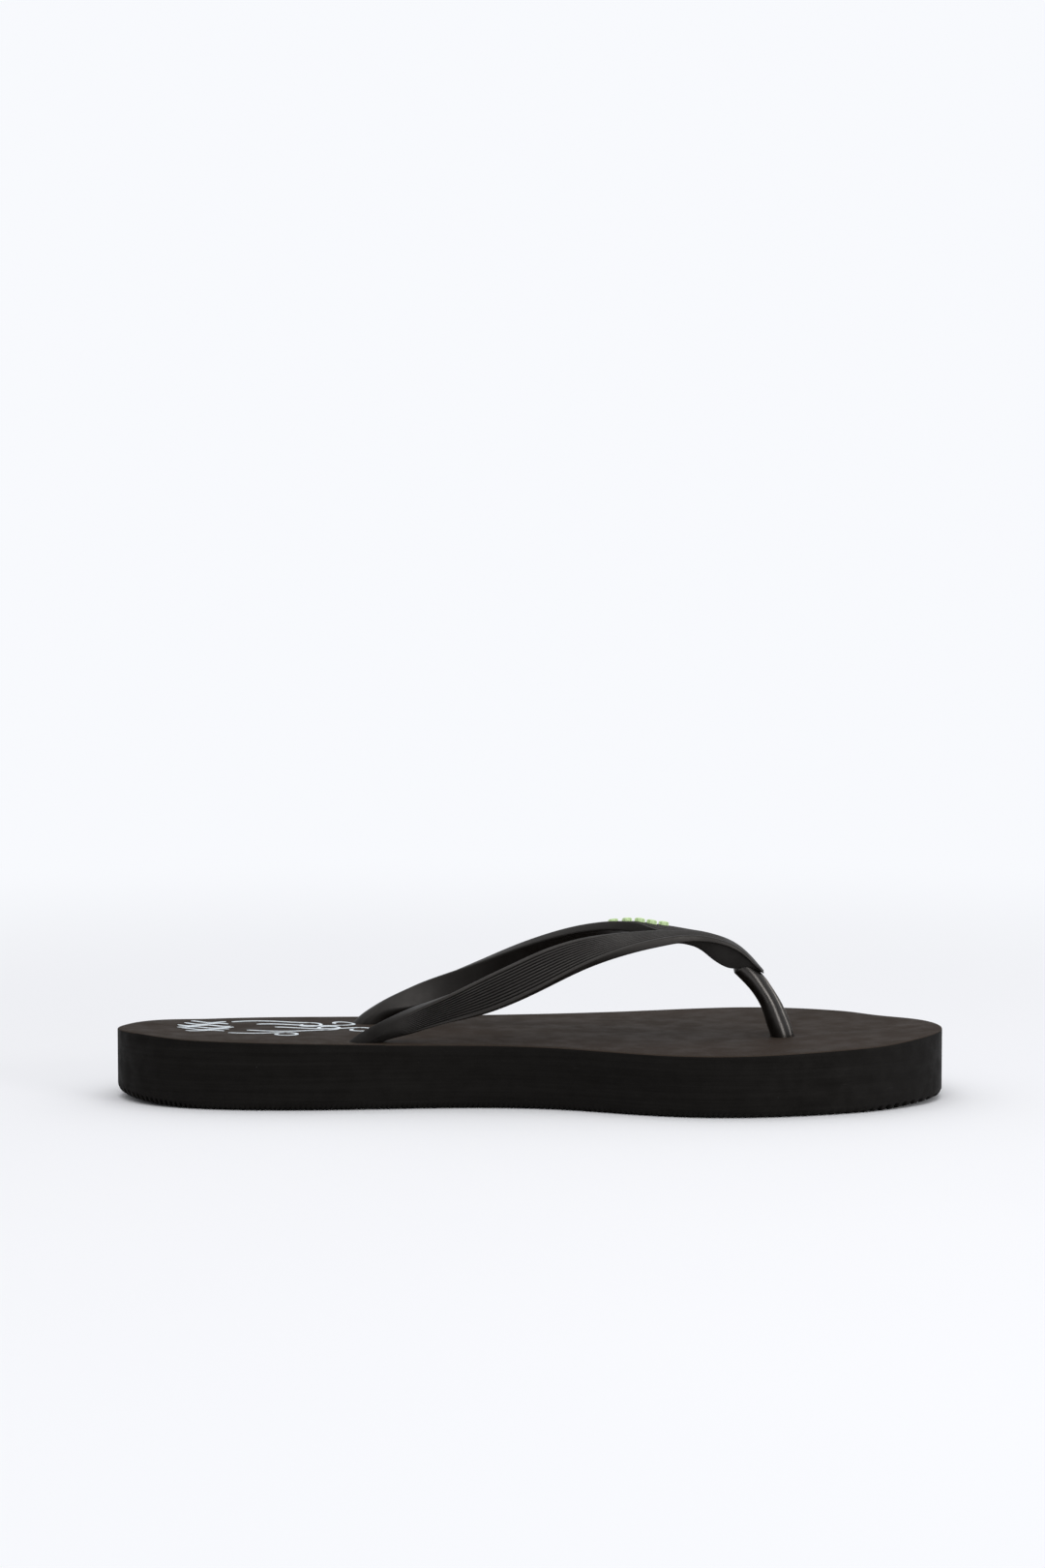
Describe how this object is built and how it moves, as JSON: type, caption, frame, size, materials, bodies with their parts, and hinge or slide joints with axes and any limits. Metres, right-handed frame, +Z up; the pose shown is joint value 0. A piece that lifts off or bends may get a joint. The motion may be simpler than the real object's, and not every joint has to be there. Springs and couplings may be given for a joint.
{
  "type": "flip flop",
  "caption": "Left flip flop with a flat foam sole, a ribbed V-shaped rubber strap and a post between the toes; the sole bends at the ball.",
  "frame": {"origin": "on the ground plane, under the middle of the sole's length and width", "axes": "+X from heel to toe along the sole's length, +Y to the little-toe side, +Z up from the ground through the sole"},
  "size_m": [0.25, 0.0942, 0.0553],
  "materials": {
    "footbed_foam": "smooth matte closed-cell EVA foam, dark brownish grey",
    "outsole_foam": "cut matte closed-cell EVA foam, near black",
    "strap_rubber": "satin moulded rubber, black",
    "badge_rubber": "matte soft PVC, pale lime green",
    "print_ink": "thin screen print ink, pale blue white"
  },
  "bodies": {
    "sole_rear": {"footbed_rear": "footbed_foam", "outsole_rear": "outsole_foam", "side_plug_medial": "strap_rubber", "side_plug_lateral": "strap_rubber", "heel_print": "print_ink"},
    "forefoot": {"footbed_fore": "footbed_foam", "outsole_fore": "outsole_foam", "toe_plug": "strap_rubber"},
    "strap": {"strap_yoke": "strap_rubber", "strap_badge": "badge_rubber"},
    "post": {"toe_post": "strap_rubber"}
  },
  "joints": [
    {"name": "sole_flex", "type": "hinge", "parent": "sole_rear", "child": "forefoot", "pos_m": [0.045, 0, 0.01885], "axis": [0, -1, 0], "range_deg": [0, 35], "stiffness_Nm_per_rad": 3.5},
    {"name": "strap_lift", "type": "hinge", "parent": "sole_rear", "child": "strap", "pos_m": [-0.05, 0, 0.0195], "axis": [0, -1, 0], "range_deg": [0, 10]},
    {"name": "post_tilt", "type": "hinge", "parent": "forefoot", "child": "post", "pos_m": [0.0766, -0.009, 0.0194], "axis": [0, -1, 0], "range_deg": [-37, 0]}
  ],
  "couplings": [
    {"joint": "strap_lift", "follows": "sole_flex", "ratio": 0.275},
    {"joint": "post_tilt", "follows": "sole_flex", "ratio": -1.04}
  ]
}
